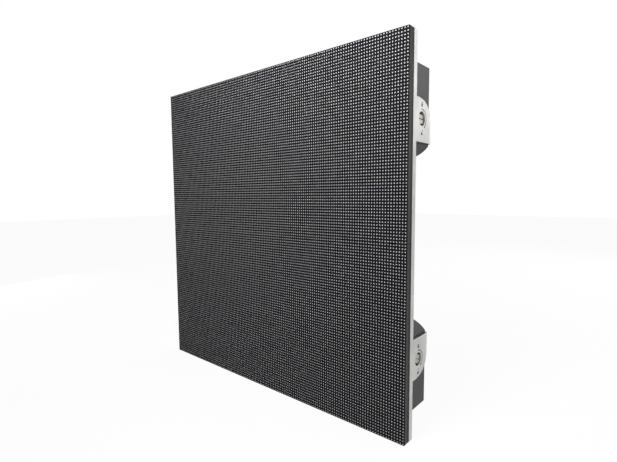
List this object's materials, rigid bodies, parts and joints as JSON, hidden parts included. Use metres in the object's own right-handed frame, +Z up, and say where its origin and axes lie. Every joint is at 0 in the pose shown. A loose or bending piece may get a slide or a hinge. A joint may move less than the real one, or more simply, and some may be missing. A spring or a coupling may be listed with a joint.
{
  "type": "led display tile",
  "caption": "Square LED video wall tile with a cast frame, corner housings, machined edge lugs with quarter-turn latches, and a rear power box.",
  "frame": {"origin": "middle of the bounding box on the surface the tile stands on", "axes": "+X to the right seen from the front, +Y from the lit face to the back, +Z up"},
  "size_m": [0.5, 0.0616, 0.5],
  "materials": {
    "cast_paint": "dark grey textured paint with bare machined lugs and rim",
    "mask_black": "matt black",
    "board_black": "black solder resist",
    "base_plastic": "matt dark olive",
    "screw_steel": "zinc plated",
    "black_steel": "black oxide",
    "latch_steel": "turned steel",
    "bush_brass": "plain bearing bronze",
    "wheel_plastic": "matt black, moulded grip",
    "box_paint": "dark textured paint",
    "seal_rubber": "black foam rubber",
    "board_green": "green solder resist",
    "supply_metal": "bare folded sheet",
    "socket_blue": "matt blue",
    "socket_grey": "matt grey",
    "socket_black": "matt black",
    "button_red": "gloss red",
    "lens_green": "clear green",
    "handle_paint": "black powder coat",
    "grip_rubber": "matt black"
  },
  "bodies": {
    "tile": {"frame": "cast_paint", "mask_upper_left": "mask_black", "mask_upper_right": "mask_black", "mask_lower_left": "mask_black", "mask_lower_right": "mask_black", "lamp_board_upper_left": "board_black", "lamp_board_upper_right": "board_black", "lamp_board_lower_left": "board_black", "lamp_board_lower_right": "board_black", "module_base_upper_left": "base_plastic", "module_base_upper_right": "base_plastic", "module_base_lower_left": "base_plastic", "module_base_lower_right": "base_plastic", "module_screws": "screw_steel", "mask_screws": "black_steel", "module_headers": "socket_black", "latch_bushes": "bush_brass", "latch_keepers": "screw_steel", "keeper_screws": "screw_steel", "power_box": "box_paint", "box_cover": "box_paint", "cover_seal": "seal_rubber", "box_screws": "screw_steel", "cover_screws": "black_steel", "hub_board": "board_green", "receiver_board": "board_green", "power_supply": "supply_metal", "supply_spacers": "bush_brass", "power_inlet": "socket_blue", "power_outlet": "socket_grey", "data_input": "socket_black", "data_output": "socket_black", "socket_screws": "black_steel", "indicator_board": "board_green", "status_lens": "lens_green", "handle": "handle_paint", "handle_grip": "grip_rubber", "handle_screws": "screw_steel"},
    "upper_side_latch": {"side_latch_upper": "latch_steel", "side_wheel_upper": "wheel_plastic", "side_wheel_screw_upper": "screw_steel"},
    "lower_side_latch": {"side_latch_lower": "latch_steel", "side_wheel_lower": "wheel_plastic", "side_wheel_screw_lower": "screw_steel"},
    "left_top_latch": {"top_latch_left": "latch_steel", "top_wheel_left": "wheel_plastic", "top_wheel_screw_left": "screw_steel"},
    "right_top_latch": {"top_latch_right": "latch_steel", "top_wheel_right": "wheel_plastic", "top_wheel_screw_right": "screw_steel"},
    "button": {"test_button": "button_red"}
  },
  "joints": [
    {"name": "upper_side_latch_turn", "type": "hinge", "parent": "tile", "child": "upper_side_latch", "pos_m": [0.24, 0.00425, 0.4], "axis": [1, 0, 0], "range_deg": [-90, 0]},
    {"name": "lower_side_latch_turn", "type": "hinge", "parent": "tile", "child": "lower_side_latch", "pos_m": [0.24, 0.00425, 0.1], "axis": [1, 0, 0], "range_deg": [-70, 20]},
    {"name": "left_top_latch_turn", "type": "hinge", "parent": "tile", "child": "left_top_latch", "pos_m": [-0.15, 0.00425, 0.49], "axis": [0, 0, 1], "range_deg": [0, 90]},
    {"name": "right_top_latch_turn", "type": "hinge", "parent": "tile", "child": "right_top_latch", "pos_m": [0.15, 0.00425, 0.49], "axis": [0, 0, 1], "range_deg": [0, 90]},
    {"name": "test_button_press", "type": "slide", "parent": "tile", "child": "button", "axis": [0, -1, 0], "range_m": [0, 0.001], "stiffness_N_per_m": 300}
  ]
}
